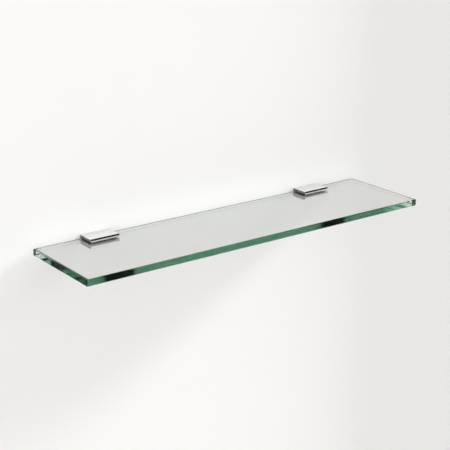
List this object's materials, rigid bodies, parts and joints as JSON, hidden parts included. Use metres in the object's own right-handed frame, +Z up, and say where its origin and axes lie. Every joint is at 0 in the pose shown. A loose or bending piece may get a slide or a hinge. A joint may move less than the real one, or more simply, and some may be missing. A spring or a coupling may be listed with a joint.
{
  "type": "wall shelf with brackets",
  "caption": "Rectangular clear glass shelf held along its back edge by rectangular chrome clamp brackets screwed to a wall.",
  "frame": {"origin": "on the wall plane, midway between the two brackets, at the height of the wall screws", "axes": "+Z up, +Y into the wall, +X along the shelf to the right as seen from the room"},
  "size_m": [0.6, 0.1856, 0.0213],
  "materials": {
    "shelf_glass": "clear float glass, polished edges",
    "bracket_chrome": "polished chrome plating",
    "pad_rubber": "matt black rubber",
    "plate_steel": "rolled stainless steel",
    "set_screw_steel": "turned stainless steel",
    "wall_screw_zinc": "bright zinc plating",
    "plug_nylon": "moulded grey nylon"
  },
  "bodies": {
    "wall_brackets": {"left_bracket": "bracket_chrome", "left_upper_pad": "pad_rubber", "left_back_pad": "pad_rubber", "left_outer_wall_screw": "wall_screw_zinc", "left_inner_wall_screw": "wall_screw_zinc", "left_outer_wall_plug": "plug_nylon", "left_inner_wall_plug": "plug_nylon", "right_bracket": "bracket_chrome", "right_upper_pad": "pad_rubber", "right_back_pad": "pad_rubber", "right_outer_wall_screw": "wall_screw_zinc", "right_inner_wall_screw": "wall_screw_zinc", "right_outer_wall_plug": "plug_nylon", "right_inner_wall_plug": "plug_nylon"},
    "shelf": {"glass_shelf": "shelf_glass"},
    "left_clamp_plate": {"left_pressure_plate": "plate_steel", "left_lower_pad": "pad_rubber"},
    "left_outer_screw": {"left_outer_set_screw": "set_screw_steel"},
    "left_inner_screw": {"left_inner_set_screw": "set_screw_steel"},
    "right_clamp_plate": {"right_pressure_plate": "plate_steel", "right_lower_pad": "pad_rubber"},
    "right_outer_screw": {"right_outer_set_screw": "set_screw_steel"},
    "right_inner_screw": {"right_inner_set_screw": "set_screw_steel"}
  },
  "joints": [
    {"name": "shelf_slide", "type": "slide", "parent": "wall_brackets", "child": "shelf", "axis": [0, -1, 0], "range_m": [0, 0.03]},
    {"name": "left_clamp_release", "type": "slide", "parent": "wall_brackets", "child": "left_clamp_plate", "axis": [0, 0, -1], "range_m": [0, 0.0008]},
    {"name": "left_outer_screw_turn", "type": "hinge", "parent": "left_clamp_plate", "child": "left_outer_screw", "pos_m": [-0.21, -0.01615, -0.0074], "axis": [0, 0, -1], "range_deg": [0, 360]},
    {"name": "left_inner_screw_turn", "type": "hinge", "parent": "left_clamp_plate", "child": "left_inner_screw", "pos_m": [-0.186, -0.01615, -0.0074], "axis": [0, 0, -1], "range_deg": [0, 360]},
    {"name": "right_clamp_release", "type": "slide", "parent": "wall_brackets", "child": "right_clamp_plate", "axis": [0, 0, -1], "range_m": [0, 0.0008]},
    {"name": "right_outer_screw_turn", "type": "hinge", "parent": "right_clamp_plate", "child": "right_outer_screw", "pos_m": [0.21, -0.01615, -0.0074], "axis": [0, 0, -1], "range_deg": [0, 360]},
    {"name": "right_inner_screw_turn", "type": "hinge", "parent": "right_clamp_plate", "child": "right_inner_screw", "pos_m": [0.186, -0.01615, -0.0074], "axis": [0, 0, -1], "range_deg": [0, 360]}
  ],
  "couplings": [
    {"joint": "left_outer_screw_turn", "follows": "left_clamp_release", "rad_per_m": 7854},
    {"joint": "left_inner_screw_turn", "follows": "left_clamp_release", "rad_per_m": 7854},
    {"joint": "right_outer_screw_turn", "follows": "right_clamp_release", "rad_per_m": 7854},
    {"joint": "right_inner_screw_turn", "follows": "right_clamp_release", "rad_per_m": 7854}
  ]
}
